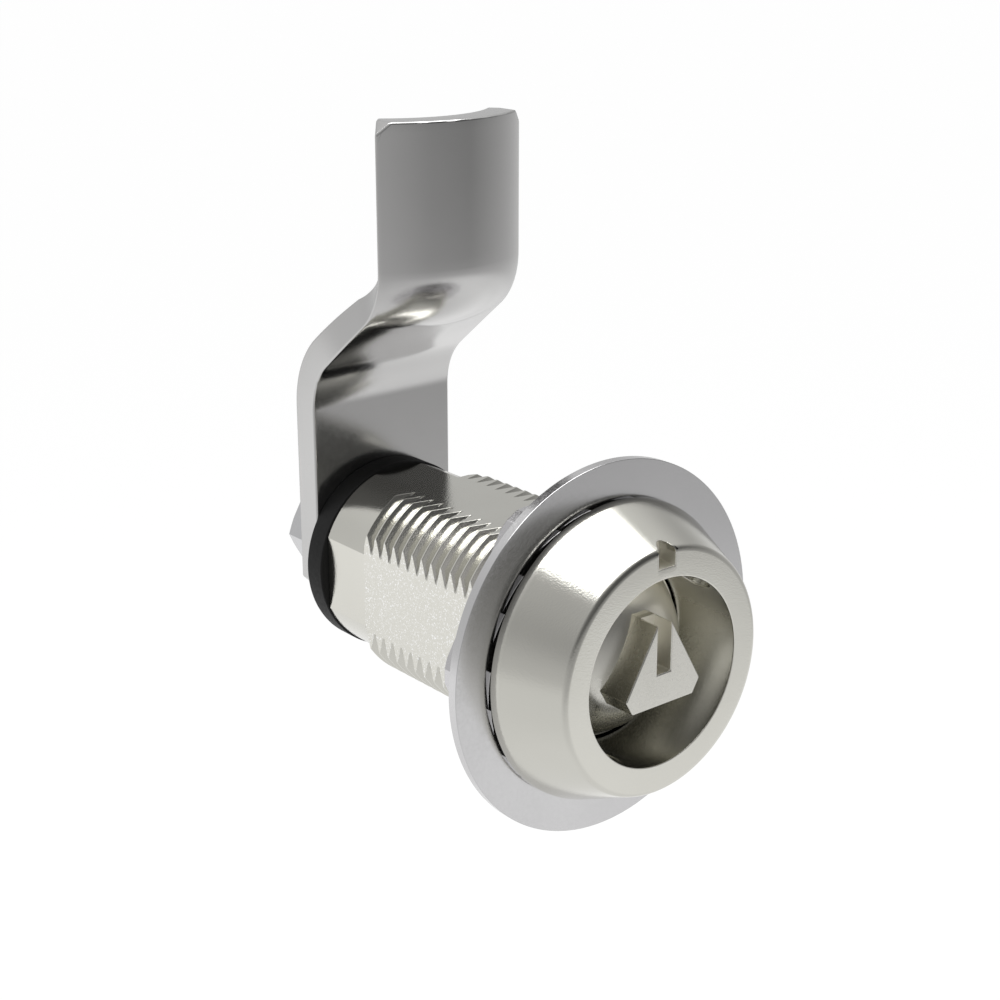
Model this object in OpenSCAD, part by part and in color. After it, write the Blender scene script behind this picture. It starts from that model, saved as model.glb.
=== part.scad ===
// Quarter-turn fastener: a turned head with a three-cornered drive in a recess, a threaded
// neck with four flats, a serrated washer and a nut that clamp the panel, and a cranked cam
// with an arched blade. The lock axis is Y, the front looks towards -Y and the cam points up.
// The origin is on the lock axis in the plane of the panel's outer face.

/* [Head] */
// Largest diameter of the head, near its rear edge
head_d = 29.3; // [28.6:0.1:32]
// Diameter of the head's flat front face
face_d = 22.9; // [22:0.1:25]
// Height of the head in front of the serrated washer, teeth included
head_h = 7.4; // [6.6:0.1:10]
// Radius of the rounding round the front face
front_round = 0.7; // [0.3:0.1:0.9]
// Radius of the rounding round the rear edge
rear_round = 0.6; // [0.2:0.1:1]
// Width of the pointer notch at the top of the head
notch_w = 2; // [1.2:0.1:3]
// Depth of the pointer notch behind the front face
notch_depth = 2.1; // [1:0.1:3]
// Material left between the recess and the pointer notch
notch_wall = 1.1; // [0.6:0.1:1.8]

/* [Key recess] */
// Diameter of the recess at the front face
recess_d = 18.2; // [17.8:0.1:19.4]
// Diameter of the recess at its floor
recess_floor_d = 18; // [16.6:0.1:18]
// Distance of the recess floor in front of the panel plane
floor_web = 0.1; // [0:0.1:0.8]
// Diameter of the two round pockets in the recess wall
pocket_d = 4.2; // [3:0.2:5]
// Depth of the pockets in the recess wall
pocket_depth = 0.8; // [0.4:0.1:1.2]
// Direction of the first pocket, counted from the right-hand side
pocket_angle = 54; // [30:1:80]
// Distance of the pockets' centres behind the front face
pocket_back = 2.5; // [2:0.1:4]

/* [Neck] */
// Outer diameter of the neck's thread
thread_d = 22; // [21:0.5:24]
// Pitch of the neck's thread
thread_pitch = 1.5; // [1:0.25:2]
// Distance across the neck's two side flats
neck_flats = 18.3; // [17.4:0.1:18.8]
// Distance across the neck's top and bottom flats
neck_height = 19; // [18:0.1:19.5]
// Length of the threaded stretch behind the panel plane
thread_l = 25.3; // [18:0.1:32]
// Length of the plain stretch behind the thread
plain_l = 6.35; // [4:0.05:10]
// Amount by which the plain stretch is thinner than the thread's root
plain_step = 0.3; // [0.1:0.1:0.8]
// Chamfer at the rear end of the thread
thread_chamfer = 0.6; // [0.2:0.1:1]

/* [Serrated washer] */
// Outer diameter of the serrated washer
washer_d = 36.4; // [34:0.2:42]
// Thickness of the serrated washer
washer_t = 1; // [0.8:0.1:2]
// Number of pairs of ratchet ramps
ramp_pairs = 10; // [6:1:12]
// Height of the ramps
tooth_h = 0.75; // [0.4:0.05:1.2]
// Length of the first ramp of a pair, in degrees
ramp_angle = 14.75; // [10:0.25:16]
// Length of the second ramp of a pair, in degrees
short_ramp_angle = 11; // [6:0.5:12]
// Direction of the first ramp's upright face, counted from the right-hand side
ramp_start = 29; // [0:1:35]
// Diameter at which the ramps start
ramp_inner_d = 24.6; // [24:0.2:26]
// Clearance between the ramps and the head
ramp_gap = 0.05; // [0.02:0.01:0.1]

/* [Nut] */
// Distance across the nut's flats
nut_flats = 28; // [27:0.5:32]
// Distance across the nut's blunted corners
nut_corners = 31.5; // [30:0.1:36]
// Thickness of the nut
nut_t = 4; // [3:0.1:8]
// Chamfer round the nut's rear corners
nut_chamfer = 0.5; // [0.2:0.1:1]

/* [Spindle] */
// Distance from a drive flat to the opposite blunted corner
drive_size = 8; // [6:0.5:9]
// Distance of the drive's flats from the lock axis
drive_inradius = 3.15; // [2.6:0.05:3.4]
// Width of the pointer slot in the drive
slot_w = 1.7; // [1:0.1:2]
// Depth of the pointer slot
slot_depth = 2.3; // [1:0.1:2.8]
// Distance of the drive's front face behind the head's front face
drive_back = 0; // [0:0.1:1]
// Radius of the dome that carries the drive
dome_r = 9.7; // [9:0.1:12]
// Thickness of the spindle's rim at the edge of the dome
rim_t = 0.7; // [0.5:0.1:1.2]
// Gap between the spindle's rim and the recess wall
rim_gap = 0.4; // [0.2:0.05:0.5]
// Diameter of the spindle in the neck's bore
spindle_d = 12; // [11.4:0.1:12.6]
// Radial clearance of turning and sliding pieces
running_gap = 0.05; // [0.02:0.01:0.1]
// Width of the square that carries the cam
square_w = 8; // [7:0.1:8]
// Distance by which the square ends inside the cam
square_back = 0.4; // [0.2:0.1:1]

/* [O ring] */
// Thickness of the O ring
oring_t = 1.5; // [1:0.1:2]
// Width of the O ring's groove
oring_groove_w = 2; // [1.6:0.1:3]
// Distance of the groove's middle behind the panel plane
oring_y = 6; // [3:0.5:20]

/* [Stop ring] */
// Outer diameter of the stop ring
stop_d = 20.2; // [19:0.1:22]
// Thickness of the stop ring
stop_t = 2.5; // [2:0.1:4]
// Axial play between the stop ring and the neck
end_play = 0.05; // [0.02:0.01:0.1]
// Angle through which the spindle turns
turn_angle = 90; // [60:5:120]
// Angle that the stop lug takes up
lug_angle = 30; // [20:1:50]
// Height of the stop lug
lug_h = 2; // [1:0.1:3]
// Diameter over the stop lug
lug_d = 16.2; // [15:0.1:16.6]
// Clearance round the stop lug
lug_gap = 0.1; // [0.05:0.05:0.3]

/* [Cam] */
// Width of the cam
cam_w = 17.4; // [14:0.2:20]
// Thickness of the cam's sheet
cam_t = 3.2; // [2.5:0.1:4]
// Height of the blade's end above the lock axis
cam_top = 46.4; // [40:0.2:60]
// Distance of the cam's lower end below the lock axis
cam_bottom = 8; // [7.4:0.1:10]
// Distance from the cam's seat forward to the blade's edges
cam_crank = 11.7; // [8:0.1:14]
// Height at which the first bend starts
bend_start = 17.9; // [14:0.1:20]
// Angle of the slanted stretch from upright
bend_angle = 51; // [40:1:60]
// Radius of the lower bend on the front face
lower_bend_r = 4; // [2:0.1:6]
// Radius of the upper bend on the rear face
upper_bend_r = 0.8; // [0.6:0.1:3]
// Amount by which the blade's middle bulges forward of its edges
blade_bulge = 3.2; // [1:0.1:3.8]
// Chamfer at the blade's upper corners
tip_chamfer = 1.2; // [0.5:0.1:3]
// Chamfer at the cam's lower corners
heel_chamfer = 5.9; // [2:0.1:6.2]
// Clearance of the square holes round the spindle's square
square_gap = 0.05; // [0.02:0.01:0.1]

/* [Cam screw] */
// Thread diameter of the cam screw
screw_d = 6; // [5:1:6]
// Length of the cam screw's shank
screw_l = 16; // [12:1:25]
// Distance across the flats of the screw's head
screw_head_flats = 10; // [8:0.5:11]
// Height of the screw's head
screw_head_h = 4; // [3:0.1:5]
// Outer diameter of the flat washer
flat_washer_d = 14; // [12:0.5:16]
// Thickness of the flat washer
flat_washer_t = 1.6; // [1:0.1:2]
// Outer diameter of the spring lock washer
spring_washer_d = 11.8; // [10:0.1:13]
// Thickness of the spring lock washer
spring_washer_t = 1.6; // [1:0.1:2]
// Width of the split in the spring lock washer
split_w = 1; // [0.5:0.1:2]
// Clearance of the tapped hole round the screw
screw_gap = 0.05; // [0.02:0.01:0.1]
// Clearance of the washers' holes round the screw
washer_gap = 0.2; // [0.1:0.05:0.3]
// Length of the tapped hole past the screw's tip
tap_past = 2; // [1:0.5:4]

/* [Hidden] */
$fn = 96;
past = 1;                       // how far a cut runs past the surface that it opens
front_y = -washer_t - head_h;   // front face of the head
teeth_y = -washer_t - tooth_h;  // rear face of the head
floor_y = -floor_web;
pair_pitch = 360 / ramp_pairs;
thread_root_d = thread_d - 1.2269 * thread_pitch;
plain_d = thread_root_d - plain_step;
neck_l = thread_l + plain_l;
bore_d = spindle_d + 2 * running_gap;
collar_hole_d = thread_d + 2 * running_gap;
rim_d = recess_floor_d - 2 * rim_gap;
drive_corner = drive_size - drive_inradius;
drive_y = front_y + drive_back;
oring_groove_d = bore_d - 2 * oring_t - 0.1;
stop_y = neck_l + end_play;     // front face of the stop ring
cam_y = stop_y + stop_t;        // front face of the cam's base
cam_back_y = cam_y + cam_t;
square_y = cam_back_y - square_back;
screw_y = cam_back_y + flat_washer_t + spring_washer_t;
lug_middle = turn_angle / 2 - 90;  // direction of the stop lug at rest
lug_play = asin(2 * lug_gap / spindle_d);
ramp_play = asin(2 * ramp_gap / ramp_inner_d);
crown_d = head_d - 0.1;
dome_y = floor_y - rim_t + sqrt(pow(dome_r, 2) - pow(rim_d / 2, 2));
bend_steps = 8;
slope_steps = 6;
width_steps = 16;

function arc(cx, cy, r, from, to, steps) =
    [for (i = [0:steps]) [cx + r * cos(from + (to - from) * i / steps),
                          cy + r * sin(from + (to - from) * i / steps)]];

// Centres of the head's two roundings, and the slant of the cone that touches both
front_cx = face_d / 2;
front_cy = front_y + front_round;
rear_cx = head_d / 2 - rear_round;
rear_cy = teeth_y - rear_round;
cone_angle = atan2(rear_cx - front_cx, rear_cy - front_cy)
    + asin((rear_round - front_round) / norm([rear_cx - front_cx, rear_cy - front_cy]));

// Cylinder along the lock axis between two planes
module rod(y0, y1, d) {
    translate([0, y1, 0]) rotate([90, 0, 0]) cylinder(h = y1 - y0, d = d);
}

// Taper along the lock axis between two planes
module taper(y0, y1, d0, d1) {
    translate([0, y1, 0]) rotate([90, 0, 0]) cylinder(h = y1 - y0, d1 = d1, d2 = d0);
}

// Plate between two planes, its outline drawn as seen from the front
module plate(y0, y1) {
    translate([0, y1, 0]) rotate([90, 0, 0]) linear_extrude(height = y1 - y0) children();
}

// Solid turned about the lock axis from an outline of radius and depth
module turned() {
    rotate([-90, 0, 0]) rotate_extrude() children();
}

// Part of a ring between two angles less than 180 degrees apart
module ring_part(d0, d1, from, to) {
    reach = d1;
    middle = (from + to) / 2;
    intersection() {
        difference() {
            circle(d = d1);
            circle(d = d0);
        }
        polygon([[0, 0], [reach * cos(from), reach * sin(from)],
            [reach * cos(middle), reach * sin(middle)], [reach * cos(to), reach * sin(to)]]);
    }
}

// Regular hexagon with two corners on the horizontal line
module hexagon(flats) {
    circle(d = flats / cos(30), $fn = 6);
}

// Outline of the turned head, from its rear face round the cone to its front face
function head_outline() =
    concat([[0, front_y]],
        arc(front_cx, front_cy, front_round, -90, -cone_angle, 6),
        arc(rear_cx, rear_cy, rear_round, -cone_angle, 90, 8),
        [[0, teeth_y]]);

// Pointer notch that is cut in the head's front edge
module pointer_notch() {
    start = recess_d / 2 + notch_wall;
    translate([-notch_w / 2, front_y - past, start])
        cube([notch_w, notch_depth + past, head_d / 2]);
}

// Round pocket in the recess wall in a given direction
module wall_pocket(angle) {
    reach = recess_d / 2 + pocket_depth;
    translate([0, front_y + pocket_back, 0])
        rotate([0, 90 - angle, 0])
            cylinder(h = reach, d = pocket_d);
}

// Threaded stretch and plain stretch, planed to four flats
module neck() {
    intersection() {
        union() {
            rod(0, thread_l - thread_chamfer, thread_d);
            taper(thread_l - thread_chamfer, thread_l, thread_d, thread_d - 2 * thread_chamfer);
            rod(thread_l - thread_chamfer, neck_l, plain_d);
        }
        plate(0, neck_l) square([neck_flats, neck_height], center = true);
    }
}

// Pocket in the neck's rear face in which the stop lug turns
module stop_pocket() {
    plate(neck_l - lug_h - lug_gap, neck_l + past)
        ring_part(bore_d - 1, lug_d + 2 * lug_gap,
            lug_middle - turn_angle - lug_angle / 2 - lug_play,
            lug_middle + lug_angle / 2 + lug_play);
}

module housing() {
    color([0.69, 0.69, 0.65])
    difference() {
        union() {
            turned() polygon(head_outline());
            rod(teeth_y, 0, thread_d);
            neck();
        }
        taper(front_y, floor_y, recess_d, recess_floor_d);
        rod(floor_y - past, neck_l + past, bore_d);
        stop_pocket();
        pointer_notch();
        wall_pocket(pocket_angle);
        wall_pocket(pocket_angle + 180);
    }
}

// One ramp of the washer: upright at its first side, falling to nothing at the other
module ramp(start, angle) {
    length = crown_d / 2 * sin(angle);
    sink = washer_t / 2;
    intersection() {
        rotate([0, -start, 0]) rotate([90, 0, 90])
            linear_extrude(height = crown_d)
                polygon([[sink - washer_t, 0], [ramp_gap - tooth_h - washer_t, 0],
                    [-washer_t, length], [sink - washer_t, length]]);
        plate(teeth_y, sink - washer_t)
            ring_part(ramp_inner_d, crown_d, start + ramp_play, start + angle - ramp_play);
    }
}

module serrated_washer() {
    color([0.62, 0.61, 0.62])
    difference() {
        union() {
            rod(-washer_t, 0, washer_d);
            for (i = [0:ramp_pairs - 1]) {
                start = ramp_start + i * pair_pitch;
                ramp(start, ramp_angle);
                ramp(start + ramp_angle, short_ramp_angle);
            }
        }
        rod(-washer_t - past, past, collar_hole_d);
    }
}

module hex_nut() {
    corner_d = nut_flats / cos(30);
    color([0.66, 0.65, 0.67])
    difference() {
        intersection() {
            plate(0, nut_t) hexagon(nut_flats);
            plate(0, nut_t) rotate(30) hexagon(nut_corners);
            union() {
                rod(0, nut_t - nut_chamfer, corner_d + past);
                taper(nut_t - nut_chamfer, nut_t, corner_d, corner_d - 2 * nut_chamfer / tan(30));
            }
        }
        rod(-past, nut_t + past, collar_hole_d);
    }
}

// Triangle with a corner at the top and blunted corners
module drive_outline() {
    intersection() {
        rotate(90) circle(r = 2 * drive_inradius, $fn = 3);
        rotate(-90) circle(r = 2 * drive_corner, $fn = 3);
    }
}

module spindle() {
    color([0.72, 0.72, 0.68])
    difference() {
        union() {
            intersection() {
                translate([0, dome_y, 0]) sphere(r = dome_r);
                rod(front_y, floor_y, rim_d);
            }
            plate(drive_y, floor_y - rim_t) drive_outline();
            rod(floor_y - rim_t, stop_y, spindle_d);
            intersection() {
                plate(stop_y - past, square_y) square(square_w, center = true);
                rod(stop_y - past, square_y, spindle_d);
            }
        }
        translate([-slot_w / 2, drive_y - past, 0])
            cube([slot_w, slot_depth + past, drive_size]);
        difference() {
            rod(oring_y - oring_groove_w / 2, oring_y + oring_groove_w / 2, bore_d);
            rod(oring_y - oring_groove_w, oring_y + oring_groove_w, oring_groove_d);
        }
        rod(screw_y - screw_l - tap_past, square_y + past, screw_d + 2 * screw_gap);
    }
}

module spindle_o_ring() {
    color([0.05, 0.05, 0.05])
    translate([0, oring_y, 0])
        turned() translate([(oring_groove_d + oring_t) / 2 + 0.02, 0]) circle(d = oring_t, $fn = 48);
}

module stop_ring() {
    color([0.08, 0.08, 0.08])
    difference() {
        union() {
            rod(stop_y, cam_y, stop_d);
            plate(stop_y - lug_h, stop_y + stop_t / 2)
                ring_part(spindle_d + 4 * lug_gap, lug_d,
                    lug_middle - lug_angle / 2, lug_middle + lug_angle / 2);
        }
        plate(stop_y, cam_y + past) square(square_w + 2 * square_gap, center = true);
    }
}

// Sheet's stations: depth and height of the front edge, slant from upright, share of the bulge
function cam_stations() =
    let (upper_r = upper_bend_r + cam_t,
         drop = 1 - cos(bend_angle),
         slope_l = (cam_crank - (lower_bend_r + upper_r) * drop) / sin(bend_angle),
         slope_y = cam_y - lower_bend_r * drop,
         slope_z = bend_start + lower_bend_r * sin(bend_angle),
         end_y = slope_y - slope_l * sin(bend_angle),
         end_z = slope_z + slope_l * cos(bend_angle),
         fade_steps = slope_steps + bend_steps)
    concat([[cam_y, -cam_bottom, 0, 0]],
        [for (i = [0:bend_steps])
            let (a = bend_angle * i / bend_steps)
            [cam_y - lower_bend_r * (1 - cos(a)), bend_start + lower_bend_r * sin(a), a, 0]],
        [for (i = [1:slope_steps])
            let (l = slope_l * i / slope_steps)
            [slope_y - l * sin(bend_angle), slope_z + l * cos(bend_angle), bend_angle,
                fade(i / fade_steps)]],
        [for (i = [1:bend_steps])
            let (a = bend_angle * (1 - i / bend_steps))
            [end_y - upper_r * (cos(a) - cos(bend_angle)), end_z + upper_r * (sin(bend_angle) - sin(a)),
                a, fade((slope_steps + i) / fade_steps)]],
        [[cam_y - cam_crank, cam_top, 0, 1]]);

function fade(t) = t * t * (3 - 2 * t);

// Points across the sheet at one station: along the front face and back along the rear face
function cam_section(station) =
    let (half = cam_w / 2,
         bulge = max(blade_bulge * station[3], 0.0001),
         arch = 2 * atan(bulge / half),
         r = half / sin(arch))
    concat([for (i = [0:width_steps])
                sheet_point(station, arch * (2 * i / width_steps - 1), arch, r, 0)],
           [for (i = [width_steps:-1:0])
                sheet_point(station, arch * (2 * i / width_steps - 1), arch, r, cam_t)]);

// Point of the sheet at an angle of its arch and a depth behind the front face
function sheet_point(station, angle, arch, r, depth) =
    let (out = (r - depth) * cos(angle) - r * cos(arch),
         slant = station[2])
    [(r - depth) * sin(angle), station[0] - out * cos(slant), station[1] - out * sin(slant)];

// Bent sheet with square corners
module cam_sheet() {
    stations = cam_stations();
    count = len(stations);
    ring = 2 * (width_steps + 1);
    points = [for (s = stations) each cam_section(s)];
    sides = [for (k = [0:count - 2]) for (i = [0:ring - 1])
        let (j = (i + 1) % ring)
        each [[k * ring + i, (k + 1) * ring + j, k * ring + j],
              [k * ring + i, (k + 1) * ring + i, (k + 1) * ring + j]]];
    last = (count - 1) * ring;
    ends = [for (i = [0:width_steps - 1])
        let (j = ring - 1 - i)
        each [[i, i + 1, j], [i + 1, j - 1, j],
              [last + i, last + j, last + i + 1], [last + i + 1, last + j, last + j - 1]]];
    polyhedron(points = points, faces = concat(sides, ends));
}

// Wedge that chamfers a corner of the cam: outward and upward are 1 or -1
module corner_cut(outward, upward, edge, size) {
    side = outward * cam_w / 2;
    plate(cam_y - cam_crank - blade_bulge - past, cam_back_y + past)
        polygon([[side - outward * (size + past), edge + upward * past],
            [side + outward * past, edge - upward * (size + past)],
            [side + outward * past, edge + upward * past]]);
}

module cam() {
    color([0.6, 0.59, 0.6])
    difference() {
        cam_sheet();
        plate(cam_y - past, cam_back_y + past) square(square_w + 2 * square_gap, center = true);
        for (outward = [-1, 1]) {
            corner_cut(outward, 1, cam_top, tip_chamfer);
            corner_cut(outward, -1, -cam_bottom, heel_chamfer);
        }
    }
}

module cam_washer() {
    color([0.75, 0.75, 0.75])
    difference() {
        rod(cam_back_y, cam_back_y + flat_washer_t, flat_washer_d);
        rod(cam_back_y - past, cam_back_y + flat_washer_t + past, screw_d + 2 * washer_gap);
    }
}

module spring_lock_washer() {
    low_y = cam_back_y + flat_washer_t;
    color([0.7, 0.7, 0.7])
    difference() {
        rod(low_y, screw_y, spring_washer_d);
        rod(low_y - past, screw_y + past, screw_d + 2 * washer_gap);
        translate([0, (low_y + screw_y) / 2, spring_washer_d / 2])
            rotate([0, 0, 25])
                cube([split_w, 2 * spring_washer_t + past, spring_washer_d], center = true);
    }
}

module cam_screw() {
    corner_d = screw_head_flats / cos(30);
    top_y = screw_y + screw_head_h;
    edge = 0.1 * screw_head_h;
    color([0.8, 0.8, 0.8])
    union() {
        rod(screw_y - screw_l, screw_y + edge, screw_d);
        intersection() {
            plate(screw_y, top_y) hexagon(screw_head_flats);
            union() {
                rod(screw_y, top_y - edge, corner_d + past);
                taper(top_y - edge, top_y, corner_d, corner_d - 2 * edge / tan(30));
            }
        }
    }
}

housing();
serrated_washer();
hex_nut();
spindle();
spindle_o_ring();
stop_ring();
cam();
cam_washer();
spring_lock_washer();
cam_screw();
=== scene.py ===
import math

import bmesh
import bpy
from mathutils import Matrix, Vector


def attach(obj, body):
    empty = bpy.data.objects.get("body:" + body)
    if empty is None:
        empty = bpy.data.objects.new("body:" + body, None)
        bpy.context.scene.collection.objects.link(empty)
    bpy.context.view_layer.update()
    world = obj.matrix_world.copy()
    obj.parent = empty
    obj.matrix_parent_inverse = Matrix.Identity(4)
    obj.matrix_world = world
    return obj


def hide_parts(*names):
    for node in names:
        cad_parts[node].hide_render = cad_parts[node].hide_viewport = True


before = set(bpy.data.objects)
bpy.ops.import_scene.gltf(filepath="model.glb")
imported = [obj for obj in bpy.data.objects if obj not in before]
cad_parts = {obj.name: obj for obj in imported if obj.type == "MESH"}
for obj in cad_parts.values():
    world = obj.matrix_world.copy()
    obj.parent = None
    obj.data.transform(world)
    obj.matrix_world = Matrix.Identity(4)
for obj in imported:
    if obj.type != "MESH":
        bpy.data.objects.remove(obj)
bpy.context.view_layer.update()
scene = bpy.context.scene
millimetre = 0.001
past = 1   # mm that a cutter reaches past the surface it opens


# Camera

photoCamera = {
    "place": (-108.60, -116.71, 68.72),   # mm, in the frame of the part
    "azimuth": -39.52,                    # degrees, 0 looks along +Y
    "elevation": 18.87,
    "focalPixels": 1841.84,
    "imagePixels": 1000,
    "sensor": 36.0,
}


def makeCamera(setup):
    azimuth = math.radians(setup["azimuth"])
    elevation = math.radians(setup["elevation"])
    back = Vector((math.sin(azimuth) * math.cos(elevation),
                   -math.cos(azimuth) * math.cos(elevation),
                   math.sin(elevation)))
    right = Vector((0, 0, 1)).cross(back).normalized()
    up = back.cross(right)
    data = bpy.data.cameras.new("photoCamera")
    data.sensor_width = setup["sensor"]
    data.lens = setup["focalPixels"] / setup["imagePixels"] * setup["sensor"]
    data.clip_start = 0.005
    data.clip_end = 20
    data.dof.use_dof = False
    camera = bpy.data.objects.new("photoCamera", data)
    scene.collection.objects.link(camera)
    turn = Matrix((right, up, back)).transposed().to_4x4()
    camera.matrix_world = Matrix.Translation(Vector(setup["place"]) * millimetre) @ turn
    scene.camera = camera


makeCamera(photoCamera)
print("camera is set")


# Meshes are worked on in millimetres and brought to metres when a piece is finished

def addObject(name, mesh):
    made = bpy.data.objects.new(name, mesh)
    scene.collection.objects.link(made)
    return made


def applyModifiers(piece):
    graph = bpy.context.evaluated_depsgraph_get()
    graph.update()
    shaped = bpy.data.meshes.new_from_object(piece.evaluated_get(graph), depsgraph=graph)
    piece.modifiers.clear()
    old = piece.data
    piece.data = shaped
    bpy.data.meshes.remove(old)


def removePiece(piece):
    mesh = piece.data
    bpy.data.objects.remove(piece)
    bpy.data.meshes.remove(mesh)


def cut(piece, cutter, operation="DIFFERENCE"):
    step = piece.modifiers.new("cut", "BOOLEAN")
    step.operation = operation
    step.solver = "EXACT"
    step.object = cutter
    applyModifiers(piece)
    removePiece(cutter)
    return piece


def finishPiece(piece, material, body, replaced, smoothAngle=30):
    mesh = piece.data
    mesh.materials.clear()
    mesh.materials.append(material)
    mesh.shade_smooth()
    mesh.set_sharp_from_angle(angle=math.radians(smoothAngle))
    step = piece.modifiers.new("weighted", "WEIGHTED_NORMAL")
    step.keep_sharp = True
    step.weight = 50
    applyModifiers(piece)
    piece.data.transform(Matrix.Scale(millimetre, 4))
    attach(piece, body)
    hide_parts(*replaced)


# Node helpers

def addNode(tree, kind, **settings):
    node = tree.nodes.new(kind)
    for key, value in settings.items():
        setattr(node, key, value)
    return node


def setInput(modifier, tree, name, value):
    for item in tree.interface.items_tree:
        if item.item_type == "SOCKET" and item.in_out == "INPUT" and item.name == name:
            modifier[item.identifier] = value
            return
    raise KeyError(name)


def startGeometryTree(name, inputs):
    tree = bpy.data.node_groups.new(name, "GeometryNodeTree")
    tree.interface.new_socket("Geometry", in_out="OUTPUT", socket_type="NodeSocketGeometry")
    for socketName, kind, value in inputs:
        item = tree.interface.new_socket(socketName, in_out="INPUT", socket_type=kind)
        if kind != "NodeSocketMaterial" and kind != "NodeSocketObject":
            item.default_value = value
    return tree, addNode(tree, "NodeGroupInput"), addNode(tree, "NodeGroupOutput")


def feed(tree, socket, value):
    # links an output to a socket, or sets a plain number or colour on it
    if isinstance(value, bpy.types.NodeSocket):
        tree.links.new(value, socket)
    else:
        socket.default_value = value


def mathNode(tree, operation, *values):
    node = addNode(tree, "ShaderNodeMath", operation=operation)
    for place, value in enumerate(values):
        feed(tree, node.inputs[place], value)
    return node.outputs[0]


def mixNode(tree, kind, factor, first, second):
    node = addNode(tree, "ShaderNodeMix", data_type=kind)
    start = {"FLOAT": 2, "RGBA": 6}[kind]
    feed(tree, node.inputs["Factor"], factor)
    feed(tree, node.inputs[start], first)
    feed(tree, node.inputs[start + 1], second)
    return node.outputs[2 if kind == "RGBA" else 0]


def rangeNode(tree, value, start, end, low=0.0, high=1.0, **settings):
    node = addNode(tree, "ShaderNodeMapRange", **settings)
    for name, given in (("Value", value), ("From Min", start), ("From Max", end),
                        ("To Min", low), ("To Max", high)):
        feed(tree, node.inputs[name], given)
    return node.outputs[0]


def endGeometryTree(tree, source, groupIn, groupOut):
    real = addNode(tree, "GeometryNodeRealizeInstances")
    paint = addNode(tree, "GeometryNodeSetMaterial")
    tree.links.new(source, real.inputs["Geometry"])
    tree.links.new(real.outputs[0], paint.inputs["Geometry"])
    tree.links.new(groupIn.outputs["Material"], paint.inputs["Material"])
    tree.links.new(paint.outputs[0], groupOut.inputs[0])


def makeHelixTree():
    # right-handed V-shaped sweep that climbs along +Y, as a solid that can cut a thread
    tree, groupIn, groupOut = startGeometryTree("threadHelix", [
        ("Turns", "NodeSocketFloat", 4.0),
        ("Pitch", "NodeSocketFloat", 1.5),
        ("Start", "NodeSocketFloat", 0.0),
        ("Inner radius", "NodeSocketFloat", 10.0),
        ("Outer radius", "NodeSocketFloat", 11.0),
        ("Inner half width", "NodeSocketFloat", 0.1),
        ("Outer half width", "NodeSocketFloat", 0.6),
        ("Steps per turn", "NodeSocketInt", 96),
        ("Material", "NodeSocketMaterial", None),
    ])
    given = groupIn.outputs
    spiral = addNode(tree, "GeometryNodeCurveSpiral")
    spiral.inputs["Reverse"].default_value = True
    tree.links.new(given["Steps per turn"], spiral.inputs["Resolution"])
    tree.links.new(given["Turns"], spiral.inputs["Rotations"])
    middle = mathNode(tree, "MULTIPLY", mathNode(tree, "ADD", given["Inner radius"],
                                                 given["Outer radius"]), 0.5)
    tree.links.new(middle, spiral.inputs["Start Radius"])
    tree.links.new(middle, spiral.inputs["End Radius"])
    tree.links.new(mathNode(tree, "MULTIPLY", given["Turns"], given["Pitch"]),
                   spiral.inputs["Height"])
    upright = addNode(tree, "GeometryNodeSetCurveNormal", mode="Z_UP")
    tree.links.new(spiral.outputs[0], upright.inputs["Curve"])

    outline = addNode(tree, "GeometryNodeCurvePrimitiveQuadrilateral", mode="POINTS")
    reach = mathNode(tree, "MULTIPLY", mathNode(tree, "SUBTRACT", given["Outer radius"],
                                                given["Inner radius"]), 0.5)
    corners = [(-1, "Inner half width", 1), (-1, "Inner half width", -1),
               (1, "Outer half width", -1), (1, "Outer half width", 1)]
    for place, (outward, widthName, side) in enumerate(corners):
        point = addNode(tree, "ShaderNodeCombineXYZ")
        tree.links.new(mathNode(tree, "MULTIPLY", reach, outward), point.inputs["X"])
        tree.links.new(mathNode(tree, "MULTIPLY", given[widthName], side), point.inputs["Y"])
        tree.links.new(point.outputs[0], outline.inputs["Point %d" % (place + 1)])
    sweep = addNode(tree, "GeometryNodeCurveToMesh")
    sweep.inputs["Fill Caps"].default_value = True
    tree.links.new(upright.outputs[0], sweep.inputs["Curve"])
    tree.links.new(outline.outputs[0], sweep.inputs["Profile Curve"])
    place = addNode(tree, "ShaderNodeCombineXYZ")
    tree.links.new(given["Start"], place.inputs["Y"])
    lay = addNode(tree, "GeometryNodeTransform")
    lay.inputs["Rotation"].default_value = (math.radians(-90), 0, 0)
    tree.links.new(sweep.outputs[0], lay.inputs["Geometry"])
    tree.links.new(place.outputs[0], lay.inputs["Translation"])
    endGeometryTree(tree, lay.outputs[0], groupIn, groupOut)
    return tree


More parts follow.
